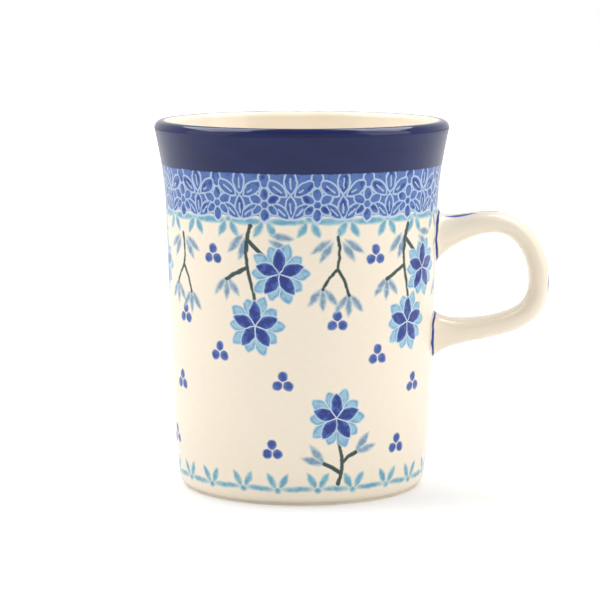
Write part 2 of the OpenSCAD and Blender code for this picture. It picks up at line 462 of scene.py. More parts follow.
class Wiring:
    """Adds nodes to one tree, in the order in which their values are needed, and joins them."""

    def __init__(self, tree: bpy.types.NodeTree) -> None:
        """Starts work on a tree."""
        self.tree = tree

    def node(self, kind: str, **settings: object) -> bpy.types.Node:
        """Adds a node and sets its properties.

        Args:
            kind: The node's type.
            **settings: Its properties by name.

        Returns:
            The node.
        """
        made = self.tree.nodes.new(kind)
        made.location = (180.0 * (len(self.tree.nodes) - 1), 0.0)
        for name, value in settings.items():
            setattr(made, name, value)
        return made

    def feed(self, socket: Socket, value: Feed) -> None:
        """Links a value to an input, or writes it there if it is a constant.

        Args:
            socket: The input.
            value: A socket or a constant.
        """
        if isinstance(value, bpy.types.NodeSocket):
            self.tree.links.new(value, socket)
        else:
            socket.default_value = value

    def math(self, operation: str, *values: Feed, clamp: bool = False) -> Socket:
        """The result of one sum on numbers.

        Args:
            operation: The sum.
            *values: What it works on.
            clamp: Whether the result is kept from 0 to 1.

        Returns:
            The result.
        """
        made = self.node("ShaderNodeMath", operation=operation, use_clamp=clamp)
        for socket, value in zip(made.inputs, values):
            self.feed(socket, value)
        return made.outputs[0]

    def vector(self, operation: str, *values: Feed) -> Socket:
        """The result of one sum on vectors. SCALE takes its number second.

        Args:
            operation: The sum.
            *values: What it works on.

        Returns:
            The result, a number for a length, a distance or a dot product.
        """
        made = self.node("ShaderNodeVectorMath", operation=operation)
        sockets = [made.inputs[0], made.inputs["Scale"]] if operation == "SCALE" else made.inputs
        for socket, value in zip(sockets, values):
            self.feed(socket, value)
        return made.outputs["Value" if operation in SCALAR_RESULTS else "Vector"]

    def join(self, x: Feed, y: Feed) -> Socket:
        """A flat vector from its two parts.

        Args:
            x: The first part.
            y: The second part.

        Returns:
            The vector.
        """
        made = self.node("ShaderNodeCombineXYZ")
        self.feed(made.inputs["X"], x)
        self.feed(made.inputs["Y"], y)
        return made.outputs[0]

    def split(self, vector: Socket) -> tuple[Socket, Socket, Socket]:
        """A vector's three parts.

        Args:
            vector: The vector.

        Returns:
            Its three parts.
        """
        made = self.node("ShaderNodeSeparateXYZ")
        self.feed(made.inputs[0], vector)
        return made.outputs["X"], made.outputs["Y"], made.outputs["Z"]

    def fade(self, value: Feed, start: Feed, end: Feed) -> Socket:
        """A smooth step that is 0 up to start and 1 from end on. Start may be the larger.

        Args:
            value: What is stepped.
            start: Where the step begins.
            end: Where it is full.

        Returns:
            The step, from 0 to 1.
        """
        made = self.node("ShaderNodeMapRange", interpolation_type="SMOOTHSTEP")
        for name, given in (("Value", value), ("From Min", start), ("From Max", end)):
            self.feed(made.inputs[name], given)
        return made.outputs["Result"]

    def spread(self, value: Feed, low: Feed, high: Feed, start: float = 0.3, end: float = 0.7) -> Socket:
        """Stretches a value that lies between start and end over the range from low to high.

        Args:
            value: What is stretched.
            low: The result at start.
            high: The result at end.
            start: The value's lower limit.
            end: Its upper limit.

        Returns:
            The stretched value.
        """
        made = self.node("ShaderNodeMapRange", interpolation_type="LINEAR")
        given = {"Value": value, "From Min": start, "From Max": end, "To Min": low, "To Max": high}
        for name, number in given.items():
            self.feed(made.inputs[name], number)
        return made.outputs["Result"]

    def mix(self, share: Feed, under: Feed, over: Feed) -> Socket:
        """One colour laid over another.

        Args:
            share: How much of the upper colour shows.
            under: The lower colour.
            over: The upper colour.

        Returns:
            The mixed colour.
        """
        made = self.node("ShaderNodeMix", data_type="RGBA")
        for index, value in ((0, share), (6, under), (7, over)):
            self.feed(made.inputs[index], value)
        return made.outputs[2]

    def noise(self, place: Socket, scale: float, detail: float = 1.0) -> Socket:
        """Soft noise, from 0 to 1, whose scale is in features to one unit of place.

        Args:
            place: Where it is read.
            scale: How fine it is.
            detail: How many finer layers it has.

        Returns:
            The noise.
        """
        made = self.node("ShaderNodeTexNoise", noise_dimensions="3D")
        for name, value in (("Vector", place), ("Scale", scale), ("Detail", detail)):
            self.feed(made.inputs[name], value)
        return made.outputs["Fac"]

    def use(self, group: bpy.types.NodeTree, **given: Feed) -> bpy.types.Node:
        """Places a group and feeds its inputs, which are named in lower case with underscores.

        Args:
            group: The group.
            **given: What its inputs are fed with.

        Returns:
            The placed group.
        """
        made = self.node("ShaderNodeGroup", node_tree=group)
        for name, value in given.items():
            self.feed(made.inputs[name.replace("_", " ").capitalize()], value)
        return made


Filling = Callable[[Wiring, bpy.types.Node], tuple[Socket, ...]]


def shared_group(
    name: str, takes: dict[str, Kind], gives: dict[str, Kind], fill: Filling
) -> bpy.types.NodeTree:
    """Makes a shader node group.

    Args:
        name: The group's name.
        takes: Its inputs, by name.
        gives: Its outputs, by name.
        fill: Adds the group's nodes. It gets the wiring and the input node, and returns what each output
            is fed with, in order.

    Returns:
        The new group.
    """
    tree = bpy.data.node_groups.new(name, "ShaderNodeTree")
    for direction, ports in (("INPUT", takes), ("OUTPUT", gives)):
        for port, kind in ports.items():
            tree.interface.new_socket(name=port, in_out=direction, socket_type=kind.value)
    wiring = Wiring(tree)
    given = wiring.node("NodeGroupInput")
    results = fill(wiring, given)
    output = wiring.node("NodeGroupOutput")
    for socket, result in zip(output.inputs, results):
        wiring.feed(socket, result)
    return tree


# ---------------------------------------------------------------------------------------------------------
# The stamped pattern
# ---------------------------------------------------------------------------------------------------------


@dataclass(frozen=True)
class Touch:
    """One touch of a stamp: its middle, the way it points, its length and its width."""

    x: float
    y: float
    turn: float
    length: float
    width: float


@dataclass(frozen=True)
class Row:
    """A stamp repeated round the wall: how often, where the first is, and how unevenly they were set."""

    count: int
    first: float
    height: float
    sway: float = 0.0
    bob: float = 0.0


def around(count: int, start: float = 90.0) -> tuple[float, ...]:
    """Even turns right round a centre."""
    return tuple(start + 360.0 * number / count for number in range(count))


def fan(
    at: Point, turns: Iterable[float], reach: float, length: float, width: float, uneven: float = 0.0
) -> tuple[Touch, ...]:
    """Sets touches round a point, each pointing away from it.

    Args:
        at: The point that they leave from.
        turns: The way that each one points.
        reach: How far each touch's middle is from the point.
        length: Each touch's length.
        width: Each touch's width.
        uneven: How much shorter and closer every second touch is, as a share.

    Returns:
        The touches, in the order of the turns.
    """
    made = []
    for number, turn in enumerate(turns):
        share = 1.0 - uneven * (number % 2)
        x, y = math.cos(math.radians(turn)), math.sin(math.radians(turn))
        made.append(Touch(at[0] + reach * share * x, at[1] + reach * share * y, turn, length * share, width))
    return tuple(made)


def swaying(length: float, sway: float, waves: float, steps: int) -> tuple[Point, ...]:
    """A stem that sways from side to side as it goes up, or down where its length is negative.

    Args:
        length: How far the stem goes up.
        sway: How far it leaves its line to either side.
        waves: How many times it goes over and back.
        steps: How many strokes it is drawn with.

    Returns:
        The points between the strokes, both ends included.
    """
    shares = (number / steps for number in range(steps + 1))
    return tuple((sway * math.sin(math.tau * waves * share), length * share) for share in shares)


class Brushes:
    """The shared node groups that every stamp is made with. Lengths in them are millimetres."""

    def __init__(self, wall_radius: float) -> None:
        """Takes the radius at which one millimetre of pattern is one millimetre of wall."""
        self.wall_radius = wall_radius

    @cached_property
    def wall_place(self) -> bpy.types.NodeTree:
        """The place on the unrolled wall: along it to the right from the front, and up from the table.

        Returns:
            The shared group.
        """

        def fill(w: Wiring, _: bpy.types.Node) -> tuple[Socket, ...]:
            """Adds the group's nodes.

            Args:
                w: The group's wiring.
                _: The group's inputs, of which it has none.

            Returns:
                What each output is fed with.
            """
            point = w.node("ShaderNodeTexCoord").outputs["Object"]
            x, y, z = w.split(w.vector("SCALE", point, 1 / MM))
            angle = w.math("ARCTAN2", x, w.math("MULTIPLY", y, -1.0))
            waver = w.noise(point, 560.0, 2.0)
            stray = w.vector("SCALE", w.join(w.spread(waver, -1.0, 1.0), w.spread(waver, 0.6, -0.6)), 0.17)
            return (w.vector("ADD", w.join(w.math("MULTIPLY", angle, self.wall_radius), z), stray),)

        return shared_group("Wall place", {}, {"Place": Kind.VECTOR}, fill)

    @cached_property
    def repeat(self) -> bpy.types.NodeTree:
        """The place relative to the nearest of a row of stamps that runs right round the wall.

        Returns:
            The shared group.
        """

        def fill(w: Wiring, given: bpy.types.Node) -> tuple[Socket, ...]:
            """Adds the group's nodes.

            Args:
                w: The group's wiring.
                given: The group's inputs.

            Returns:
                What each output is fed with.
            """
            place, count, first, height, sway, bob = given.outputs[:6]
            x, y, _ = w.split(place)
            pitch = w.math("DIVIDE", math.tau * self.wall_radius, count)
            along = w.math("SUBTRACT", x, first)
            number = w.math("ROUND", w.math("DIVIDE", along, pitch))
            half = w.math("FLOOR", w.math("DIVIDE", count, 2.0))
            turn = w.math("DIVIDE", w.math("MULTIPLY", half, math.tau), count)
            uneven = w.math("COSINE", w.math("MULTIPLY", number, turn))
            along = w.math("SUBTRACT", along, w.math("MULTIPLY", number, pitch))
            along = w.math("SUBTRACT", along, w.math("MULTIPLY", uneven, sway))
            up = w.math("SUBTRACT", w.math("SUBTRACT", y, height), w.math("MULTIPLY", uneven, bob))
            return (w.join(along, up),)

        takes = {"Place": Kind.VECTOR, "Count": Kind.NUMBER, "First": Kind.NUMBER, "Height": Kind.NUMBER}
        takes |= {"Sway": Kind.NUMBER, "Bob": Kind.NUMBER}
        return shared_group("Repeat round the wall", takes, {"Place": Kind.VECTOR}, fill)

    @cached_property
    def petal(self) -> bpy.types.NodeTree:
        """An oval touch with blunt points: the distance to its outline, negative inside.

        Returns:
            The shared group.
        """

        def fill(w: Wiring, given: bpy.types.Node) -> tuple[Socket, ...]:
            """Adds the group's nodes.

            Args:
                w: The group's wiring.
                given: The group's inputs.

            Returns:
                What each output is fed with.
            """
            place, centre, turn, length, width = given.outputs[:5]
            soft = w.math("MULTIPLY", width, 0.24)
            a = w.math("SUBTRACT", w.math("DIVIDE", length, 2.0), soft)
            b = w.math("SUBTRACT", w.math("DIVIDE", width, 2.0), soft)
            squares = w.math("ADD", w.math("MULTIPLY", a, a), w.math("MULTIPLY", b, b))
            bow = w.math("DIVIDE", w.math("DIVIDE", squares, b), 2.0)
            lift = w.join(0.0, w.math("SUBTRACT", bow, b))
            turned_back = w.node("ShaderNodeVectorRotate", rotation_type="Z_AXIS")
            w.feed(turned_back.inputs["Vector"], place)
            w.feed(turned_back.inputs["Center"], centre)
            w.feed(turned_back.inputs["Angle"], w.math("MULTIPLY", turn, -1.0))
            local = w.vector("SUBTRACT", turned_back.outputs[0], centre)
            reach = w.vector("LENGTH", w.vector("ADD", w.vector("ABSOLUTE", local), lift))
            return (w.math("SUBTRACT", w.math("SUBTRACT", reach, bow), soft),)

        takes = {"Place": Kind.VECTOR, "Centre": Kind.VECTOR, "Turn": Kind.NUMBER}
        takes |= {"Length": Kind.NUMBER, "Width": Kind.NUMBER}
        return shared_group("Petal touch", takes, {"Distance": Kind.NUMBER}, fill)

    @cached_property
    def oval(self) -> bpy.types.NodeTree:
        """A round or oval dab: the distance to its outline, negative inside.

        Returns:
            The shared group.
        """

        def fill(w: Wiring, given: bpy.types.Node) -> tuple[Socket, ...]:
            """Adds the group's nodes.

            Args:
                w: The group's wiring.
                given: The group's inputs.

            Returns:
                What each output is fed with.
            """
            place, centre, turn, length, width = given.outputs[:5]
            radii = w.vector("ADD", w.vector("SCALE", w.join(length, width), 0.5), (0.0, 0.0, 1.0))
            turned_back = w.node("ShaderNodeVectorRotate", rotation_type="Z_AXIS")
            w.feed(turned_back.inputs["Vector"], place)
            w.feed(turned_back.inputs["Center"], centre)
            w.feed(turned_back.inputs["Angle"], w.math("MULTIPLY", turn, -1.0))
            local = w.vector("SUBTRACT", turned_back.outputs[0], centre)
            reach = w.vector("LENGTH", w.vector("DIVIDE", local, radii))
            short = w.math("MULTIPLY", w.math("MINIMUM", length, width), 0.5)
            return (w.math("MULTIPLY", w.math("SUBTRACT", reach, 1.0), short),)

        takes = {"Place": Kind.VECTOR, "Centre": Kind.VECTOR, "Turn": Kind.NUMBER}
        takes |= {"Length": Kind.NUMBER, "Width": Kind.NUMBER}
        return shared_group("Oval dab", takes, {"Distance": Kind.NUMBER}, fill)

    @cached_property
    def stroke(self) -> bpy.types.NodeTree:
        """A straight brush stroke with round ends: the distance to its outline, negative inside.

        Returns:
            The shared group.
        """

        def fill(w: Wiring, given: bpy.types.Node) -> tuple[Socket, ...]:
            """Adds the group's nodes.

            Args:
                w: The group's wiring.
                given: The group's inputs.

            Returns:
                What each output is fed with.
            """
            place, start, end, width = given.outputs[:4]
            run = w.vector("SUBTRACT", end, start)
            square = w.vector("DOT_PRODUCT", run, run)
            offset = w.vector("SUBTRACT", place, start)
            share = w.math("DIVIDE", w.vector("DOT_PRODUCT", offset, run), square, clamp=True)
            away = w.vector("LENGTH", w.vector("SUBTRACT", offset, w.vector("SCALE", run, share)))
            return (w.math("SUBTRACT", away, w.math("MULTIPLY", width, 0.5)),)

        takes = {"Place": Kind.VECTOR, "Start": Kind.VECTOR, "End": Kind.VECTOR, "Width": Kind.NUMBER}
        return shared_group("Brush stroke", takes, {"Distance": Kind.NUMBER}, fill)

    @cached_property
    def nearest_two(self) -> bpy.types.NodeTree:
        """Keeps the smallest and the second smallest of a run of distances.

        Returns:
            The shared group.
        """

        def fill(w: Wiring, given: bpy.types.Node) -> tuple[Socket, ...]:
            """Adds the group's nodes.

            Args:
                w: The group's wiring.
                given: The group's inputs.

            Returns:
                What each output is fed with.
            """
            nearest, second, distance = given.outputs[:3]
            worse = w.math("MAXIMUM", nearest, distance)
            return w.math("MINIMUM", nearest, distance), w.math("MINIMUM", second, worse)

        takes = {"Nearest": Kind.NUMBER, "Second": Kind.NUMBER, "Distance": Kind.NUMBER}
        return shared_group("Nearest two", takes, {"Nearest": Kind.NUMBER, "Second": Kind.NUMBER}, fill)

    @cached_property
    def pigment(self) -> bpy.types.NodeTree:
        """Lays a watery pigment over a ground: thin in the middle of a touch and pooled at its edge.

        Returns:
            The shared group.
        """

        def fill(w: Wiring, given: bpy.types.Node) -> tuple[Socket, ...]:
            """Adds the group's nodes.

            Args:
                w: The group's wiring.
                given: The group's inputs.

            Returns:
                What each output is fed with.
            """
            ground, distance, edge, middle, strength, softness, share, cloud = given.outputs[:8]
            pooled = w.math("ADD", w.fade(distance, -0.85, 0.0), w.spread(cloud, -0.7, 0.7))
            paint = w.mix(w.math("MULTIPLY", pooled, 1.0, clamp=True), middle, edge)
            inside = w.fade(distance, softness, w.math("MULTIPLY", softness, -1.0))
            cover = w.math("MULTIPLY", w.math("MULTIPLY", inside, strength), share)
            return (w.mix(cover, ground, paint),)

        takes = {"Ground": Kind.COLOUR, "Distance": Kind.NUMBER, "Edge": Kind.COLOUR, "Middle": Kind.COLOUR}
        takes |= {"Strength": Kind.NUMBER, "Softness": Kind.NUMBER}
        takes |= {"Share": Kind.NUMBER, "Cloud": Kind.NUMBER}
        return shared_group("Watery pigment", takes, {"Colour": Kind.COLOUR}, fill)


@dataclass(frozen=True)
class Sprig:
    """One stamp with stems: its row, its stems and leaves, and where its sprays and blossoms are."""

    row: Row
    stems: tuple[tuple[Point, ...], ...]
    leaves: tuple[Touch, ...]
    sprays: tuple[Point, ...] = ()
    blossoms: tuple[Point, ...] = ()
    stem_width: float = 1.15


@dataclass(frozen=True)
class Chain:
    """A row of chevrons and its dashes: their thickness, their share of the pitch and their lift."""

    row: Row
    hangs: bool
    thickness: float
    share: float
    lift: float


@dataclass(frozen=True)
class Pigment:
    """One colour of the palette: how it dries at the edge and in the middle, and how it covers."""

    edge: tuple[float, float, float, float]
    middle: tuple[float, float, float, float]
    strength: float = 1.0
    softness: float = 0.18


@dataclass(frozen=True)
class Palette:
    """The colours of the pattern."""

    cream: tuple[float, float, float, float] = colour(248, 236, 216)
    deep_cream: tuple[float, float, float, float] = colour(243, 229, 206)
    # The inside's cream, painted lighter than the outside's as painted light, to offset the shade inside the
    # cup.
    liner: tuple[float, float, float, float] = colour(251, 241, 223)
    line: tuple[float, float, float, float] = colour(192, 211, 230)
    haze: tuple[float, float, float, float] = colour(204, 222, 232)
    cobalt: Pigment = Pigment(colour(7, 20, 74), colour(12, 27, 84))
    belt: Pigment = Pigment(colour(56, 90, 162), colour(82, 114, 178), 1.0, 0.2)
    pool: tuple[float, float, float, float] = colour(22, 54, 138)
    petal: Pigment = Pigment(colour(72, 108, 180), colour(36, 56, 134), 1.0, 0.18)
    mark: Pigment = Pigment(colour(72, 108, 180), colour(36, 56, 134), 1.0, 0.16)
    light: Pigment = Pigment(colour(102, 158, 196), colour(150, 194, 216), 0.95, 0.28)
    berry: Pigment = Pigment(colour(88, 118, 186), colour(56, 82, 154), 1.0, 0.26)
    stem: Pigment = Pigment(colour(24, 60, 62), colour(34, 72, 70), 0.97, 0.18)
    leaf: Pigment = Pigment(colour(172, 194, 206), colour(108, 142, 174), 0.92, 0.42)
    fringe: Pigment = Pigment(colour(134, 190, 206), colour(80, 156, 188), 0.92, 0.4)


@dataclass
class Painting:
    """A ground in the making: its nodes, its places, and the colour laid on it so far."""

    w: Wiring
    brushes: Brushes
    place: Socket
    cloud: Socket
    ground: Feed
    STEM_TAPER: ClassVar[float] = 0.05

    def repeated(self, row: Row) -> Socket:
        """The place relative to the nearest stamp of a row."""
        given = {"count": float(row.count), "first": row.first, "height": row.height, "sway": row.sway}
        return self.w.use(self.brushes.repeat, place=self.place, bob=row.bob, **given).outputs[0]

    def touch(
        self, brush: bpy.types.NodeTree, place: Socket, touch: Touch, at: Point = (0.0, 0.0)
    ) -> Socket:
        """The distance to one touch.

        Args:
            brush: The group that draws it.
            place: The place in the stamp.
            touch: The touch.
            at: A point of the stamp that the touch is set from.

        Returns:
            The distance, negative inside.
        """
        centre = (touch.x + at[0], touch.y + at[1], 0.0)
        given = {"centre": centre, "turn": math.radians(touch.turn)}
        given |= {"length": touch.length, "width": touch.width}
        return self.w.use(brush, place=place, **given).outputs[0]

    def nearest(self, distances: Iterable[Socket]) -> tuple[Feed, Feed]:
        """The smallest two of some distances, each of which is made only when it is its turn.

        Args:
            distances: The distances.

        Returns:
            The smallest and the second smallest.
        """
        nearest: Feed = FAR
        second: Feed = FAR
        for distance in distances:
            both = self.w.use(self.brushes.nearest_two, nearest=nearest, second=second, distance=distance)
            nearest, second = both.outputs[0], both.outputs[1]
        return nearest, second

    def touches(
        self, brush: bpy.types.NodeTree, place: Socket, touches: Iterable[Touch], at: Point = (0.0, 0.0)
    ) -> tuple[Feed, Feed]:
        """The distances to the nearest and the second nearest of some touches of one brush.

        Args:
            brush: The group that draws them.
            place: The place in the stamp.
            touches: The touches.
            at: A point of the stamp that they are set from.

        Returns:
            The smallest and the second smallest distance.
        """
        return self.nearest(self.touch(brush, place, touch, at) for touch in touches)

    def strokes(self, place: Socket, strokes: Iterable[Stroke]) -> Feed:
        """The distance to the nearest of some straight strokes.

        Args:
            place: The place in the stamp.
            strokes: Each stroke's start, end and width.

        Returns:
            The distance, negative inside.
        """
        nearest: Feed = FAR
        for start, end, width in strokes:
            given = {"start": (*start, 0.0), "end": (*end, 0.0), "width": width}
            distance = self.w.use(self.brushes.stroke, place=place, **given).outputs[0]
            nearest = self.w.math("MINIMUM", nearest, distance)
        return nearest

    def stems(self, place: Socket, stems: Iterable[Sequence[Point]], width: float) -> Feed:
        """The distance to a set of stems, which taper as they go.

        Args:
            place: The place in the stamp.
            stems: Each stem's points.
            width: How wide a stem is where it starts.

        Returns:
            The distance, negative inside.
        """
        strokes = [
            (start, end, width * (1 - self.STEM_TAPER * number))
            for stem in stems
            for number, (start, end) in enumerate(zip(stem, stem[1:]))
        ]
        return self.strokes(place, strokes)

    def lay(self, distance: Feed, pigment: Pigment, share: Feed = 1.0) -> None:
        """Lays a pigment over what is painted so far.

        Args:
            distance: The distance to the touches that it fills.
            pigment: The pigment.
            share: How much of it stays at each place.
        """
        given = {"edge": pigment.edge, "middle": pigment.middle}
        given |= {"strength": pigment.strength, "softness": pigment.softness}
        given |= {"ground": self.ground, "distance": distance, "share": share, "cloud": self.cloud}
        self.ground = self.w.use(self.brushes.pigment, **given).outputs[0]

    def wash(self, share: Socket, paint: Sequence[float]) -> None:
        """Lays one plain colour thinly over what is painted so far."""
        self.ground = self.w.mix(share, self.ground, paint)


class StampedPattern:
    """The flower pattern on the wall, as one node group. Each stamp's own places are millimetres from it."""

    BELT = Row(17, 3.9, 80.2)
    BELT_EYE = Touch(0.0, 0.0, 0.0, 2.0, 2.0)
    BELT_PETALS = fan((0.0, 0.0), around(6), 2.7, 3.3, 2.3) + (Touch(0.0, 6.7, 90, 4.4, 2.7),)
    BELT_LEAVES = (
        fan((6.75, -4.2), (44, 90, 136), 3.6, 5.0, 2.4) + fan((6.75, 1.4), (38, 90, 142), 4.6, 5.6, 2.9)
    )
    VEIN = 0.28

    FRINGE = Chain(Row(21, 1.6, 76.3, 0.3), hangs=True, thickness=1.9, share=0.98, lift=0.5)
    BORDER = Chain(Row(21, 4.3, 4.3, 0.25, 0.1), hangs=False, thickness=1.5, share=0.8, lift=0.4)
    CHEVRON = (Touch(-1.7, 2.6, 120, 4.4, 2.0), Touch(1.7, 2.6, 60, 4.4, 2.0))
    CHEVRON_DOT = Touch(0.0, 0.0, 0.0, 2.0, 1.6)

    OUTER_PETALS = fan((0.0, 0.0), around(10, 72.0), 5.4, 5.2, 3.2, 0.1)
    INNER_PETALS = fan((0.0, 0.0), around(5), 3.2, 5.8, 3.0)
    SWELL = 0.14
    SPRAY = fan((0.0, 0.6), (232, 270, 308), 3.4, 5.2, 2.0)
    BERRIES = fan((0.0, 0.0), around(3), 1.65, 2.8, 2.6)

    _down = swaying(-8.4, 0.5, 0.5, 3)
    TWIG = Sprig(
        row=Row(5, 9.0, 71.4, 0.4, 0.3),
        stems=(
            _down,
            (_down[-1], (-2.2, -10.6), (-3.9, -13.6)),
            (_down[-1], (1.9, -11.4), (3.2, -15.4)),
        ),
        leaves=fan((0.0, 0.6), (214, 236), 5.4, 5.6, 2.1) + fan((0.0, 0.6), (304, 326), 5.4, 5.6, 2.1),
        sprays=((-3.9, -13.6), (3.2, -15.4)),
        stem_width=0.9,
    )

    _down = swaying(-25.5, -1.3, 0.85, 7)
    BOUGH = Sprig(
        row=Row(5, -14.2, 74.4, 0.6, 0.2),
        stems=(
            _down,
            (_down[1], (2.2, -6.6), (5.0, -9.2), (7.7, -12.4)),
            (_down[3], (-3.4, -12.2), (-7.2, -14.2)),
        ),
        leaves=fan((0.0, 0.0), (228, 250), 6.4, 5.8, 2.2) + fan((2.2, -2.0), (352, 330), 6.4, 5.6, 2.1),
        sprays=((-7.2, -14.2),),
        blossoms=((7.7, -12.4), (_down[-1][0], _down[-1][1] - 0.8)),
    )

    _up = swaying(17.0, 0.9, 0.8, 6)
    FLOWER = Sprig(
        row=Row(3, 10.4, 6.0),
        stems=(
            _up,
            (_up[1], (-2.0, 4.6), (-4.2, 5.6)),
            (_up[2], (2.6, 7.4), (4.8, 8.4)),
        ),
        leaves=fan((-4.0, 5.4), (128, 164), 3.5, 5.8, 2.1) + fan((4.6, 8.2), (16, 52), 3.5, 5.8, 2.1),
        blossoms=((_up[-1][0], _up[-1][1] + 0.8),),
    )

    BERRY_ROWS = (
        Row(5, -25.4, 66.4, 0.3), Row(5, 9.0, 49.4, 0.4), Row(5, -24.0, 40.2, 0.5, 0.4),
        Row(6, -3.8, 32.2, -1.3, 1.2), Row(6, -8.6, 15.1, 0.4),
    )

    def __init__(self, sizes: VesselSizes, brushes: Brushes, palette: Palette) -> None:
        """Takes what the pattern is painted on and with.

        Args:
            sizes: The wall's sizes.
            brushes: The shared groups.
            palette: The colours.
        """
        self.sizes = sizes
        self.brushes = brushes
        self.palette = palette

    @cached_property
    def group(self) -> bpy.types.NodeTree:
        """The whole pattern: its colour over the wall."""
        return shared_group("Stamped pattern", {}, {"Colour": Kind.COLOUR}, self._fill)

    def _fill(self, w: Wiring, _: bpy.types.Node) -> tuple[Socket, ...]:
        """Paints the stamps one over another, in the order in which a painter sets them.

        Args:
            w: The group's wiring.
            _: The group's inputs, of which it has none.

        Returns:
            The finished colour.
        """
        place = w.use(self.brushes.wall_place).outputs[0]
        cloud = w.noise(place, 0.55, 2.0)
        ground = w.mix(w.spread(cloud, 0.0, 0.3), self.palette.cream, self.palette.deep_cream)
        wall = Painting(w, self.brushes, place, cloud, ground)
        for chain in (self.BORDER, self.FRINGE):
            self._chain(wall, chain)
        self._berries(wall)
        for sprig in (self.TWIG, self.BOUGH, self.FLOWER):
            self._sprig(wall, sprig)
        self._belt(wall)
        self._cobalt_edge(wall)
        return (wall.ground,)

    def _chain(self, wall: Painting, chain: Chain) -> None:
        """Paints a row of open chevrons with a dot under each and a dash between each two.

        Args:
            wall: The painting.
            chain: The row and its dashes.
        """
        w = wall.w
        local = wall.repeated(chain.row)
        if chain.hangs:
            local = w.vector("MULTIPLY", local, (1.0, -1.0, 1.0))
        near, _ = wall.touches(self.brushes.petal, local, self.CHEVRON)
        dot = wall.touch(self.brushes.oval, local, self.CHEVRON_DOT)
        pitch = math.tau * self.brushes.wall_radius / chain.row.count
        dash = Touch(pitch / 2, chain.lift, 0.0, pitch * chain.share, chain.thickness)
        across = w.vector("ABSOLUTE", local)
        upright = w.vector("MULTIPLY", local, (0.0, 1.0, 0.0))
        level = w.vector("MULTIPLY_ADD", across, (1.0, 0.0, 0.0), upright)
        dashes = wall.touch(self.brushes.oval, level, dash)
        wall.lay(w.math("MINIMUM", w.math("MINIMUM", near, dot), dashes), self.palette.fringe)

    def _berries(self, wall: Painting) -> None:
        """Paints the groups of three berries: one stamp, at whichever row's place is nearest.

        Args:
            wall: The painting.
        """
        w = wall.w
        closest = wall.repeated(self.BERRY_ROWS[0])
        for row in self.BERRY_ROWS[1:]:
            other = wall.repeated(row)
            nearer = w.math("LESS_THAN", w.vector("LENGTH", other), w.vector("LENGTH", closest))
            shift = w.vector("SCALE", w.vector("SUBTRACT", other, closest), nearer)
            closest = w.vector("ADD", closest, shift)
        near, second = wall.touches(self.brushes.oval, closest, self.BERRIES)
        gap = w.fade(w.math("SUBTRACT", second, near), 0.02, 0.3)
        wall.lay(near, self.palette.berry, gap)

    def _sprig(self, wall: Painting, sprig: Sprig) -> None:
        """Paints one sprig: its leaves, its stems and then its blossoms.

        Args:
            wall: The painting.
            sprig: The sprig.
        """
        place = wall.repeated(sprig.row)
        near, _ = wall.touches(self.brushes.petal, place, sprig.leaves)
        for tip in sprig.sprays:
            spray, _ = wall.touches(self.brushes.petal, place, self.SPRAY, tip)
            near = wall.w.math("MINIMUM", near, spray)
        wall.lay(near, self.palette.leaf)
        wall.lay(wall.stems(place, sprig.stems, sprig.stem_width), self.palette.stem)
        for at in sprig.blossoms:
            self._blossom(wall, place, at)

    def _blossom(self, wall: Painting, place: Socket, at: Point) -> None:
        """Paints one blossom: its pale outer petals, then its dark ones with a pale gap round each.

        Args:
            wall: The painting.
            place: The place in the stamp.
            at: The blossom's middle in the stamp.
        """
        w = wall.w
        near, second = wall.touches(self.brushes.petal, place, self.OUTER_PETALS, at)
        wall.wash(w.math("MULTIPLY", w.fade(near, 0.55, 0.05), 0.8), self.palette.haze)
        gap = w.fade(w.math("SUBTRACT", second, near), 0.05, 0.4)
        wall.lay(near, self.palette.light, gap)
        near, second = wall.touches(self.brushes.petal, place, self.INNER_PETALS, at)
        near, second = (w.math("SUBTRACT", distance, self.SWELL) for distance in (near, second))
        wall.wash(w.math("MULTIPLY", w.fade(near, 0.45, 0.1), 0.8), self.palette.haze)
        gap = w.fade(w.math("SUBTRACT", second, near), 0.1, 0.45)
        wall.lay(near, self.palette.petal, gap)

    def _belt(self, wall: Painting) -> None:
        """Paints the belt of packed flowers, whose petals have fine pale lines round and between them.

        Args:
            wall: The painting.
        """
        w = wall.w
        x, y, _ = w.split(wall.repeated(Row(1, self.BELT.first, self.BELT.height)))
        pitch = math.tau * self.brushes.wall_radius / self.BELT.count
        touches = [(self.brushes.oval, self.BELT_EYE)]
        touches += [(self.brushes.petal, touch) for touch in self.BELT_PETALS + self.BELT_LEAVES]
        near, second = wall.nearest(self._belt_touch(wall, (x, y), pitch, *made) for made in touches)
        folded = w.join(w.math("WRAP", x, pitch * 0.75, -pitch * 0.25), y)
        veins = wall.strokes(folded, map(self._vein, self.BELT_LEAVES))
        reach = w.spread(w.fade(y, -3.6, -1.0), 0.15, 2.5, 0.0, 1.0)
        filled = w.math("SUBTRACT", near, reach)
        wall.wash(w.fade(w.math("SUBTRACT", filled, 0.3), 0.2, -0.1), self.palette.line)
        outline = w.fade(w.math("ABSOLUTE", w.math("SUBTRACT", near, 0.14)), 0.12, 0.34)
        shared = w.fade(w.math("SUBTRACT", second, near), 0.14, 0.5)
        between = w.math("MAXIMUM", shared, w.fade(near, 0.2, 0.5))
        drawn = w.math("MINIMUM", w.math("MINIMUM", outline, between), w.fade(veins, -0.08, 0.22))
        wall.lay(filled, self.palette.belt, w.math("MULTIPLY_ADD", drawn, 0.8, 0.2))
        dark = w.fade(w.noise(wall.place, 0.3, 1.0), 0.46, 0.62)
        deep = w.math("MULTIPLY", w.math("MULTIPLY", w.fade(near, 0.0, -0.8), dark), drawn)
        wall.wash(w.math("MULTIPLY", deep, 0.9), self.palette.pool)

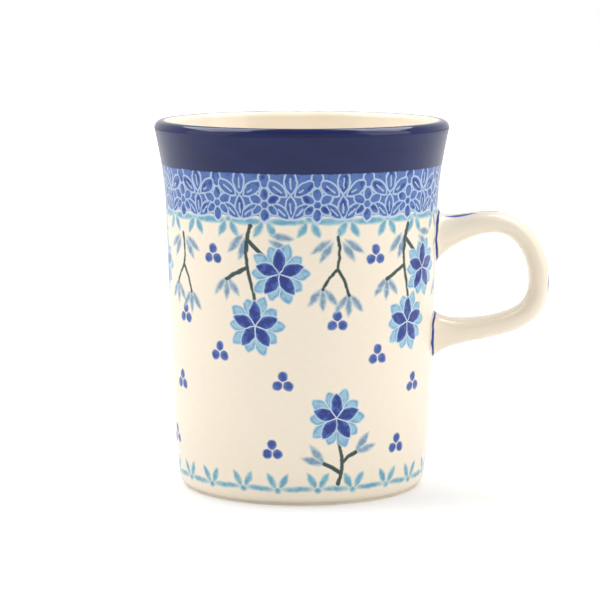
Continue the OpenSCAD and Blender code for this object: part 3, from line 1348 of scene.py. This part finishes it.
    def _belt_touch(
        self, wall: Painting, place: tuple[Socket, Socket], pitch: float, brush: bpy.types.NodeTree,
        touch: Touch,
    ) -> Socket:
        """The distance to the nearest copy of one touch along the belt.

        Args:
            wall: The painting.
            place: The place along the belt and up from its line.
            pitch: How far apart the copies are.
            brush: The group that draws the touch.
            touch: The touch.

        Returns:
            The distance.
        """
        w = wall.w
        along = w.math("WRAP", w.math("SUBTRACT", place[0], touch.x), pitch / 2, -pitch / 2)
        at_touch = w.join(along, w.math("SUBTRACT", place[1], touch.y))
        return wall.touch(brush, at_touch, touch, (-touch.x, -touch.y))

    def _vein(self, leaf: Touch) -> Stroke:
        """The midrib of one leaf of the belt, from near its foot to past its middle.

        Args:
            leaf: The leaf.

        Returns:
            The midrib as a stroke.
        """
        way = math.radians(leaf.turn)
        x, y = math.cos(way) * leaf.length, math.sin(way) * leaf.length
        start = (leaf.x - x * 0.3, leaf.y - y * 0.3)
        end = (leaf.x + x * 0.16, leaf.y + y * 0.16)
        return start, end, self.VEIN

    def _cobalt_edge(self, wall: Painting) -> None:
        """Lets the cobalt band run down a little over the belt, with an uneven edge.

        Args:
            wall: The painting.
        """
        w = wall.w
        _, height, _ = w.split(wall.place)
        uneven = w.spread(wall.cloud, -0.08, 0.08)
        edge = w.math("ADD", w.math("SUBTRACT", self.sizes.cobalt_height - 0.4, height), uneven)
        wall.lay(edge, self.palette.cobalt)


# ---------------------------------------------------------------------------------------------------------
# Finishes
# ---------------------------------------------------------------------------------------------------------


class Surfaces:
    """Shared node groups for how a surface takes the light."""

    @cached_property
    def glaze(self) -> bpy.types.NodeTree:
        """A fired glaze: its roughness, its slow ripple and a faint fine grain. Its size is in metres.

        Returns:
            The shared group.
        """

        def fill(w: Wiring, given: bpy.types.Node) -> tuple[Socket, ...]:
            """Adds the group's nodes.

            Args:
                w: The group's wiring.
                given: The group's inputs.

            Returns:
                What each output is fed with.
            """
            roughness, ripple = given.outputs[:2]
            point = w.node("ShaderNodeTexCoord").outputs["Object"]
            slow = w.noise(point, 70.0, 2.0)
            fine = w.noise(point, 900.0, 2.0)
            uneven = w.math("ADD", roughness, w.spread(slow, -0.02, 0.05))
            surface = w.math("MULTIPLY_ADD", slow, ripple, w.math("MULTIPLY", fine, 0.03))
            bump = w.node("ShaderNodeBump")
            w.feed(bump.inputs["Strength"], 0.35)
            w.feed(bump.inputs["Distance"], 0.0006)
            w.feed(bump.inputs["Height"], surface)
            return uneven, bump.outputs[0]

        takes = {"Roughness": Kind.NUMBER, "Ripple": Kind.NUMBER}
        return shared_group("Fired glaze", takes, {"Roughness": Kind.NUMBER, "Normal": Kind.VECTOR}, fill)

    @cached_property
    def clay(self) -> bpy.types.NodeTree:
        """Bare fired clay: its colour with dark grains, its roughness and its gritty surface.

        Returns:
            The shared group.
        """

        def fill(w: Wiring, given: bpy.types.Node) -> tuple[Socket, ...]:
            """Adds the group's nodes.

            Args:
                w: The group's wiring.
                given: The group's inputs.

            Returns:
                What each output is fed with.
            """
            body, grain = given.outputs[:2]
            point = w.node("ShaderNodeTexCoord").outputs["Object"]
            slow = w.noise(point, 160.0, 3.0)
            fine = w.noise(point, 2600.0, 2.0)
            shade = w.mix(w.spread(slow, 0.0, 0.45), body, grain)
            shade = w.mix(w.math("MULTIPLY", w.fade(fine, 0.64, 0.72), 0.5), shade, grain)
            bump = w.node("ShaderNodeBump")
            w.feed(bump.inputs["Strength"], 0.5)
            w.feed(bump.inputs["Distance"], 0.0002)
            w.feed(bump.inputs["Height"], fine)
            return shade, w.spread(slow, 0.72, 0.86), bump.outputs[0]

        gives = {"Colour": Kind.COLOUR, "Roughness": Kind.NUMBER, "Normal": Kind.VECTOR}
        return shared_group("Bare clay", {"Body": Kind.COLOUR, "Grain": Kind.COLOUR}, gives, fill)


def blank_material(name: str) -> tuple[bpy.types.Material, Wiring]:
    """A new material with an empty tree, and the wiring to fill it with.

    Args:
        name: The material's name.

    Returns:
        The material and its wiring.
    """
    material = bpy.data.materials.new(name)
    material.use_nodes = True
    material.node_tree.nodes.clear()
    return material, Wiring(material.node_tree)


def shade(w: Wiring, base: Feed, surface: bpy.types.Node, ior: float = 1.5) -> None:
    """Adds a material's shader over a colour and a shared surface, and joins it to the output.

    Args:
        w: The material's wiring.
        base: The colour.
        surface: The shared group that gives the roughness and the normal.
        ior: How strongly the surface reflects.
    """
    shader = w.node("ShaderNodeBsdfPrincipled")
    w.feed(shader.inputs["Base Color"], base)
    w.feed(shader.inputs["Roughness"], surface.outputs["Roughness"])
    w.feed(shader.inputs["Normal"], surface.outputs["Normal"])
    w.feed(shader.inputs["IOR"], ior)
    output = w.node("ShaderNodeOutputMaterial")
    w.feed(output.inputs["Surface"], shader.outputs[0])


def glazed(
    name: str, paint: Callable[[Wiring], Feed], surfaces: Surfaces, ripple: float = 1.0
) -> bpy.types.Material:
    """A glossy glaze over a painted ground.

    Args:
        name: The material's name.
        paint: Adds the nodes for the colour and returns it.
        surfaces: The shared surface groups.
        ripple: How uneven the glaze lies.

    Returns:
        The material.
    """
    material, w = blank_material(name)
    base = paint(w)
    surface = w.use(surfaces.glaze, roughness=GLAZE_ROUGHNESS, ripple=ripple)
    shade(w, base, surface, GLAZE_IOR)
    return material


class Face(Enum):
    """The sides of the strap that carry painted strokes."""

    TOP = "top"
    OUTER = "outer"


@dataclass(frozen=True)
class HandleStroke:
    """One painted stroke. On the top its place is x and y, and on the outer side it is z and y.

    It shows only past its limit, which is a height on the top and a distance from the axis outside.
    """

    face: Face
    touch: Touch
    limit: float


@dataclass(frozen=True)
class Finishes:
    """Every finish of the mug, each made once."""

    sizes: VesselSizes
    palette: Palette = Palette()
    surfaces: Surfaces = field(default_factory=Surfaces)
    run_in: float = 0.3
    strokes: tuple[HandleStroke, ...] = (
        HandleStroke(Face.TOP, Touch(43.4, -2.7, 6, 7.4, 2.0), 70.5),
        HandleStroke(Face.TOP, Touch(43.6, 2.6, -12, 6.4, 2.0), 70.5),
        HandleStroke(Face.TOP, Touch(51.4, 0.0, 0, 5.4, 2.2), 70.5),
        HandleStroke(Face.OUTER, Touch(65.5, 0.0, 0, 5.4, 2.4), 62.5),
        HandleStroke(Face.OUTER, Touch(55.8, -3.3, 10, 5.6, 2.2), 65.0),
        HandleStroke(Face.OUTER, Touch(55.6, 2.6, -12, 6.0, 2.2), 65.2),
    )

    @cached_property
    def brushes(self) -> Brushes:
        """The stamps' shared groups, at the wall's middle radius."""
        return Brushes(STAMP_RADIUS)

    @cached_property
    def stamped_wall(self) -> bpy.types.Material:
        """Clear glaze over the stamped pattern."""
        pattern = StampedPattern(self.sizes, self.brushes, self.palette)
        return glazed("Stamped wall", lambda w: w.use(pattern.group).outputs[0], self.surfaces)

    @cached_property
    def cream_glaze(self) -> bpy.types.Material:
        """Clear glaze over plain clay."""
        return glazed("Cream glaze", lambda w: self._cream(w, self.palette.cream), self.surfaces)

    @cached_property
    def cobalt_glaze(self) -> bpy.types.Material:
        """The cobalt coat round the lip, a little cloudy along its length.

        Returns:
            The material.
        """

        def paint(w: Wiring) -> Feed:
            """Adds the nodes for the colour.

            Args:
                w: The material's wiring.

            Returns:
                The colour.
            """
            point = w.node("ShaderNodeTexCoord").outputs["Object"]
            band = w.vector("MULTIPLY", point, (1.0, 1.0, 3.0))
            slow = w.spread(w.noise(band, 90.0, 2.0), 0.0, 1.0)
            return w.mix(slow, self.palette.cobalt.edge, self.palette.cobalt.middle)

        return glazed("Cobalt glaze", paint, self.surfaces, ripple=0.4)

    @cached_property
    def liner_glaze(self) -> bpy.types.Material:
        """Clear glaze on the inside, painted a little lighter than the outside's cream as painted light
        against the shade in the cup, with the cobalt run a little way in over the lip.

        Returns:
            The material.
        """

        def paint(w: Wiring) -> Feed:
            """Adds the nodes for the colour.

            Args:
                w: The material's wiring.

            Returns:
                The colour.
            """
            # The ground inside is the lighter cream: painted light against the shade in the cup.
            ground = self._cream(w, self.palette.liner)
            point = w.node("ShaderNodeTexCoord").outputs["Object"]
            _, _, height = w.split(point)
            from_axis = w.vector("LENGTH", w.vector("MULTIPLY", point, (1.0, 1.0, 0.0)))
            waver = w.spread(w.noise(point, 300.0, 2.0), -0.12 * MM, 0.12 * MM)
            edge = (self.sizes.lip_centre[0] - self.run_in) * MM
            over = w.fade(w.math("ADD", from_axis, waver), edge - 0.75 * MM, edge + 0.25 * MM)
            on_top = w.math("GREATER_THAN", height, self.sizes.lip_centre[1] * MM)
            return w.mix(w.math("MULTIPLY", over, on_top), ground, self.palette.cobalt.middle)

        return glazed("Liner glaze", paint, self.surfaces)

    @cached_property
    def handle_glaze(self) -> bpy.types.Material:
        """Clear glaze on the handle, over a painted line round each root and a few strokes on the strap."""
        return glazed("Handle glaze", self._handle_paint, self.surfaces)

    @cached_property
    def bare_clay(self) -> bpy.types.Material:
        """The fired clay body, bare on the foot ring."""
        return self._clay("Bare clay", colour(236, 226, 208), colour(206, 188, 160))

    @cached_property
    def slip(self) -> bpy.types.Material:
        """The finer clay that joins the handle to the wall."""
        return self._clay("Joining slip", colour(238, 228, 212), colour(212, 196, 172))

    def _clay(self, name: str, body: Sequence[float], grain: Sequence[float]) -> bpy.types.Material:
        """A bare clay material in two colours.

        Args:
            name: The material's name.
            body: The clay's colour.
            grain: The colour of its grains.

        Returns:
            The material.
        """
        material, w = blank_material(name)
        surface = w.use(self.surfaces.clay, body=body, grain=grain)
        shade(w, surface.outputs["Colour"], surface)
        return material

    def _cream(self, w: Wiring, thin: Sequence[float]) -> Socket:
        """The plain glazed ground, a little warmer where the glaze lies thick.

        Args:
            w: The material's wiring.
            thin: The colour where the glaze is thin.

        Returns:
            The colour.
        """
        point = w.node("ShaderNodeTexCoord").outputs["Object"]
        slow = w.noise(point, 45.0, 2.0)
        return w.mix(w.spread(slow, 0.0, 0.7), thin, self.palette.deep_cream)

    def _handle_paint(self, w: Wiring) -> Socket:
        """The cream ground, the cobalt lines round the roots and the strokes along the strap.

        Args:
            w: The material's wiring.

        Returns:
            The painted colour.
        """
        ground = self._cream(w, self.palette.cream)
        point = w.node("ShaderNodeTexCoord").outputs["Object"]
        x, y, z = w.split(w.vector("SCALE", point, 1 / MM))
        waver = w.noise(point, 260.0, 1.0)
        round_axis = w.vector("LENGTH", w.join(x, y))
        wall = w.math("MULTIPLY_ADD", z, self.sizes.taper, self.sizes.base_radius)
        off_wall = w.math("ADD", w.math("SUBTRACT", round_axis, wall), w.spread(waver, -0.2, 0.1))
        line = w.math("SUBTRACT", w.math("ABSOLUTE", w.math("SUBTRACT", off_wall, 0.34)), 0.26)
        ground = w.mix(w.fade(line, 0.14, -0.1), ground, self.palette.petal.middle)
        cloud = w.noise(point, 500.0, 2.0)
        strap = Painting(w, self.brushes, point, cloud, ground)
        for stroke in self.strokes:
            along, out = (x, z) if stroke.face is Face.TOP else (z, x)
            distance = strap.touch(self.brushes.petal, w.join(along, y), stroke.touch)
            shows = w.math("GREATER_THAN", out, stroke.limit)
            strap.lay(distance, self.palette.mark, shows)
        return strap.ground


# ---------------------------------------------------------------------------------------------------------
# Pieces
# ---------------------------------------------------------------------------------------------------------


def dress(piece: bpy.types.Object, material: bpy.types.Material) -> None:
    """Gives a piece one material and nothing else.

    Args:
        piece: The piece, or one of the frame's solids.
        material: Its material.
    """
    log.info("%s is dressed in %s", piece.name, material.name.lower())
    piece.data.materials.clear()
    piece.data.materials.append(material)


def settle(piece: bpy.types.Object, node: str) -> None:
    """Fixes a finished piece to the mug, in place of a solid of the frame.

    Args:
        piece: The finished piece.
        node: The frame's node that it stands for.
    """
    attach(piece, "root")
    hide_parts(node)
    log.info("%s: %d faces", piece.name, len(piece.data.polygons))


@dataclass
class Vessel:
    """The turned vessel's three coats of glaze, and the clay under them."""

    sizes: VesselSizes
    finishes: Finishes
    wall_steps: int = 64

    def build(self, nodes: dict[str, bpy.types.Object]) -> None:
        """Makes the coats and dresses the clay.

        Args:
            nodes: The frame's solids by name.
        """
        self._outer_glaze()
        self._rim_glaze()
        self._liner_glaze()
        dress(nodes["vessel_body"], self.finishes.bare_clay)
        dress(nodes["foot_glaze"], self.finishes.cream_glaze)

    def _edge(self, outer: Point, inner: Point, steps: int = 4) -> list[Point]:
        """A rounded end to a coat, between a point on its outside and one on the clay.

        Args:
            outer: The point on the coat's outside.
            inner: The point on the clay.
            steps: How many stretches the edge has.

        Returns:
            The points between the two.
        """
        middle = ((outer[0] + inner[0]) / 2, (outer[1] + inner[1]) / 2)
        radius = math.dist(outer, inner) / 2
        start = math.degrees(math.atan2(outer[1] - middle[1], outer[0] - middle[0]))
        return arc(middle, radius, start, start - 180.0, steps)[1:-1]

    def _outer_glaze(self) -> None:
        """The clear coat over the stamped wall, from the heel to the cobalt."""
        size = self.sizes
        start = size.heel_radius + 0.5

        def line(depth: float) -> list[Point]:
            """One side of the coat, a depth under the outside."""
            return size.heel(depth) + size.wall_line(depth, start, size.cobalt_height, self.wall_steps)

        outside, clay_side = line(0.0), line(size.glaze)
        profile = outside + clay_side[::-1] + self._edge(outside[0], clay_side[0])[::-1]
        piece = turned("outer_glaze_coat", profile, closed=True)
        self._unroll(piece)
        dress(piece, self.finishes.stamped_wall)
        settle(piece, "outer_glaze")

    def _rim_glaze(self) -> None:
        """The cobalt coat, from the band's lower edge over the lip."""
        size = self.sizes
        lean = size.lean(size.lip_centre[1] - 0.5)
        top = size.lip_centre[1] - size.lip_bead * math.sin(math.radians(lean)) - 1.0

        def line(depth: float) -> list[Point]:
            """One side of the coat, a depth under the outside."""
            wall = size.wall_line(depth, size.cobalt_height, top, 12)
            return wall + size.lip(depth, -lean, size.cobalt_wrap)

        piece = turned("cobalt_rim_coat", line(0.0) + line(size.glaze)[::-1], closed=True)
        dress(piece, self.finishes.cobalt_glaze)
        settle(piece, "rim_glaze")

    def _liner_glaze(self) -> None:
        """The clear coat inside, from the cobalt's inner edge down to the floor."""
        size = self.sizes

        def line(depth: float) -> list[Point]:
            """One side of the coat, a depth under the surface."""
            return size.lip(depth, size.cobalt_wrap, 180.0) + size.inside(depth)

        profile = line(0.0)[::-1] + line(size.glaze)
        piece = turned("liner_glaze_coat", profile, closed=False)
        dress(piece, self.finishes.liner_glaze)
        settle(piece, "liner_glaze")

    def _unroll(self, piece: bpy.types.Object) -> None:
        """Unrolls the coat's outside over nearly the whole square of a UV map, for its pattern.

        Args:
            piece: The coat.
        """
        mesh = piece.data
        layer = mesh.uv_layers.new(name="OFBake")
        low, high = self.sizes.heel(0.0)[0][1] * MM, self.sizes.cobalt_height * MM
        strip = 0.04
        for face in mesh.polygons:
            centre = face.center
            middle = math.atan2(centre.y, centre.x)
            outside = face.normal.dot(Vector((centre.x, centre.y, 0.0))) > 0
            for loop in face.loop_indices:
                place = mesh.vertices[mesh.loops[loop].vertex_index].co
                angle = math.atan2(place.y, place.x)
                angle += math.tau * round((middle - angle) / math.tau)
                up = min(1.0, max(0.0, (place.z - low) / (high - low)))
                across = 0.5 + angle / math.tau * 0.995
                level = strip + up * (1 - strip) if outside else up * strip * 0.8
                layer.data[loop].uv = (min(1.0, max(0.0, across)), level)


@dataclass
class Handle:
    """The strap handle's coat of glaze, and the clay and slip under it."""

    sizes: HandleSizes
    finishes: Finishes
    sides: int = 32

    def build(self, nodes: dict[str, bpy.types.Object]) -> None:
        """Makes the coat and dresses what it covers.

        Args:
            nodes: The frame's solids by name.
        """
        piece = self._sweep()
        self._fit_to_wall(piece)
        apply_modifier(piece, "SUBSURF", levels=1, render_levels=1)
        apply_modifier(piece, "SOLIDIFY", thickness=self.sizes.vessel.glaze * MM, offset=-1.0)
        enter(Mode.EDIT)
        close_and_orient()
        enter(Mode.OBJECT)
        bpy.ops.object.shade_smooth_by_angle(angle=math.radians(60))
        dress(piece, self.finishes.handle_glaze)
        settle(piece, "handle_glaze")
        dress(nodes["handle"], self.finishes.bare_clay)
        dress(nodes["upper_slip_joint"], self.finishes.slip)
        dress(nodes["lower_slip_joint"], self.finishes.slip)

    def _rings(self) -> list[Station]:
        """The strap's rings, with three more at each root that spread on to the wall as a fillet.

        Returns:
            The rings in order.
        """
        strap = self.sizes.stations()
        fillet = self.sizes.fillet
        glaze = self.sizes.vessel.glaze

        def spread(root: Station, out: float, grow: float) -> Station:
            """A root's ring moved out from the wall and grown."""
            return Station(root.x + out, root.z, root.tilt, root.half_width + grow, root.half_height + grow)

        reaches = ((glaze - 0.1, fillet), (glaze + 0.12, fillet * 0.55), (glaze + 0.55, fillet * 0.12))
        upper = [spread(strap[0], out, grow) for out, grow in reaches]
        lower = [spread(strap[-1], out, grow) for out, grow in reaches[::-1]]
        return upper + strap[1:-1] + lower

    def _sweep(self) -> bpy.types.Object:
        """Extrudes an oval section along the strap's line.

        Returns:
            The strap, open at both ends.
        """
        rings = self._rings()
        first = rings[0]
        deselect_everything()
        upright = (0.0, math.pi / 2, 0.0)
        bpy.ops.mesh.primitive_circle_add(
            vertices=self.sides, radius=MM, fill_type="NOTHING", location=first.middle, rotation=upright
        )
        piece = name_active("handle_glaze_coat")
        bpy.ops.object.transform_apply(location=True, rotation=True, scale=True)
        self._square_up(piece, first)
        enter(Mode.EDIT)
        bpy.ops.mesh.select_all(action="SELECT")
        for was, now in zip(rings, rings[1:]):
            self._next_ring(was, now)
        close_and_orient()
        enter(Mode.OBJECT)
        return piece

    def _square_up(self, piece: bpy.types.Object, first: Station) -> None:
        """Gives the round section the strap's oval, a little squarer than an ellipse.

        Args:
            piece: The ring.
            first: The first station.
        """
        for vertex in piece.data.vertices:
            across, up = vertex.co.y / MM, vertex.co.z / MM - first.z
            soft = [math.copysign(abs(v) ** self.sizes.squareness, v) for v in (across, up)]
            vertex.co.y = soft[0] * first.half_width * MM
            vertex.co.z = (first.z + soft[1] * first.half_height) * MM

    def _next_ring(self, was: Station, now: Station) -> None:
        """Extrudes the selected ring to the next station: turned upright, resized, turned and moved.

        Args:
            was: The station that the ring is at.
            now: The station that it goes to.
        """
        centre = tuple(was.middle)
        bpy.ops.mesh.extrude_region_move(TRANSFORM_OT_translate={"value": (0.0, 0.0, 0.0)})
        self._turn(-was.tilt, centre)
        ratio = (1.0, now.half_width / was.half_width, now.half_height / was.half_height)
        bpy.ops.transform.resize(value=ratio, center_override=centre)
        self._turn(now.tilt, centre)
        bpy.ops.transform.translate(value=now.middle - was.middle)

    def _turn(self, degrees: float, centre: Sequence[float]) -> None:
        """Turns the selection in the XZ plane, from +X towards +Z."""
        bpy.ops.transform.rotate(value=math.radians(degrees), orient_axis="Y", center_override=centre)

    def _fit_to_wall(self, piece: bpy.types.Object) -> None:
        """Bends the rings near the wall round it, so that the roots follow its curve.

        Args:
            piece: The swept strap.
        """
        reach = 4.0
        for vertex in piece.data.vertices:
            z, y, x = vertex.co.z / MM, vertex.co.y / MM, vertex.co.x / MM
            wall = self.sizes.vessel.radius(z)
            middle = self.sizes.upper if z > self.sizes.outermost[1] else self.sizes.lower
            share = max(0.0, 1 - max(0.0, x - middle[0] - 0.8) / reach)
            lean = wall - self.sizes.vessel.radius(middle[1])
            curve = math.sqrt(max(0.0, wall * wall - y * y)) - wall
            vertex.co.x += (lean + curve) * share * MM


# ---------------------------------------------------------------------------------------------------------
# The studio
# ---------------------------------------------------------------------------------------------------------


@dataclass(frozen=True)
class Softbox:
    """One soft light: where it is, what it points at, its size and its power in watts."""

    name: str
    place: tuple[float, float, float]
    width: float
    height: float
    power: float


@dataclass
class Studio:
    """A white floor, soft light from both sides and a long lens."""

    target: tuple[float, float, float] = (-0.00048, 0.0, 0.05045)
    distance: float = 0.69
    elevation: float = 7.8
    lens: float = 151.0
    surround: float = 0.77
    behind: float = 0.8
    overhead: float = 0.6
    floor_near: float = 0.16
    floor_far: float = 0.8
    boxes: tuple[Softbox, ...] = (
        Softbox("Left softbox", (-0.62, -0.14, 0.25), 0.5, 0.8, 0.75),
        Softbox("Right softbox", (0.62, -0.20, 0.38), 0.5, 0.6, 1.3),
        Softbox("Left overhead", (-0.42, 0.20, 0.74), 0.80, 0.46, 4.3),
        Softbox("Right overhead", (0.38, 0.24, 0.74), 0.70, 0.38, 3.4),
    )

    def build(self) -> None:
        """Sets up the floor, the light and the camera."""
        self._world()
        self._floor()
        for box in self.boxes:
            self._light(box)
        self._camera()
        bpy.context.scene.view_settings.view_transform = "Standard"
        log.info("studio: floor, %d soft lights and camera", len(self.boxes))

    def _aim(self, thing: bpy.types.Object) -> None:
        """Turns a camera or a light towards the mug."""
        direction = Vector(self.target) - thing.location
        thing.rotation_euler = direction.to_track_quat("-Z", "Y").to_euler()

    def _world(self) -> None:
        """An even surround that lights softly, and that the camera sees as plain white."""
        world = bpy.data.worlds.new("White surround")
        world.use_nodes = True
        world.node_tree.nodes.clear()
        w = Wiring(world.node_tree)
        _, back, up = w.split(w.node("ShaderNodeTexCoord").outputs["Generated"])
        strength = w.spread(w.fade(back, 0.1, 0.9), self.surround, self.behind, 0.0, 1.0)
        dimmed = w.spread(w.fade(up, 0.25, 0.9), 1.0, self.overhead, 0.0, 1.0)
        strength = w.math("MULTIPLY", strength, dimmed)
        seen = w.node("ShaderNodeLightPath").outputs["Is Camera Ray"]
        background = w.node("ShaderNodeBackground")
        w.feed(background.inputs["Color"], (1.0, 1.0, 1.0, 1.0))
        w.feed(background.inputs["Strength"], w.math("MAXIMUM", seen, strength))
        output = w.node("ShaderNodeOutputWorld")
        w.feed(output.inputs["Surface"], background.outputs[0])
        bpy.context.scene.world = world

    def _floor(self) -> None:
        """A plain white floor, which the camera sees brighter than it is, and the more so further away."""
        deselect_everything()
        bpy.ops.mesh.primitive_plane_add(size=6.0, location=(0.0, 0.0, 0.0))
        floor = name_active("floor")
        material, w = blank_material("White floor")
        seen = w.node("ShaderNodeLightPath").outputs["Is Camera Ray"]
        distance = w.vector("LENGTH", w.node("ShaderNodeTexCoord").outputs["Object"])
        lift = w.spread(w.fade(distance, 0.08, 0.7), self.floor_near, self.floor_far, 0.0, 1.0)
        lift = w.math("MULTIPLY", seen, lift)
        shader = w.node("ShaderNodeBsdfPrincipled")
        w.feed(shader.inputs["Base Color"], (0.8, 0.8, 0.8, 1.0))
        w.feed(shader.inputs["Roughness"], 0.7)
        w.feed(shader.inputs["Specular IOR Level"], 0.1)
        w.feed(shader.inputs["Emission Color"], (1.0, 1.0, 1.0, 1.0))
        w.feed(shader.inputs["Emission Strength"], lift)
        output = w.node("ShaderNodeOutputMaterial")
        w.feed(output.inputs["Surface"], shader.outputs[0])
        dress(floor, material)

    def _light(self, box: Softbox) -> None:
        """Adds one softbox.

        Args:
            box: The softbox.
        """
        light = bpy.data.lights.new(box.name, "AREA")
        light.shape = "RECTANGLE"
        light.size, light.size_y = box.width, box.height
        light.energy = box.power
        thing = bpy.data.objects.new(box.name, light)
        thing.location = box.place
        bpy.context.scene.collection.objects.link(thing)
        self._aim(thing)

    def _camera(self) -> None:
        """Adds the camera, level with the lip and a little above."""
        data = bpy.data.cameras.new("Camera")
        data.lens = self.lens
        data.sensor_width = 36.0
        data.clip_start, data.clip_end = 0.01, 20.0
        camera = bpy.data.objects.new("Camera", data)
        up = math.radians(self.elevation)
        offset = Vector((0.0, -math.cos(up), math.sin(up))) * self.distance
        camera.location = Vector(self.target) + offset
        bpy.context.scene.collection.objects.link(camera)
        self._aim(camera)
        bpy.context.scene.camera = camera


def main() -> None:
    """Builds the mug's looks round its frame."""
    logging.basicConfig(level=logging.INFO, format="%(name)s: %(message)s")
    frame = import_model()
    vessel_sizes = VesselSizes.from_frame()
    finishes = Finishes(vessel_sizes)
    Vessel(vessel_sizes, finishes).build(frame["nodes"])
    Handle(HandleSizes(vessel_sizes), finishes).build(frame["nodes"])
    Studio().build()


if __name__ == "__main__":
    main()
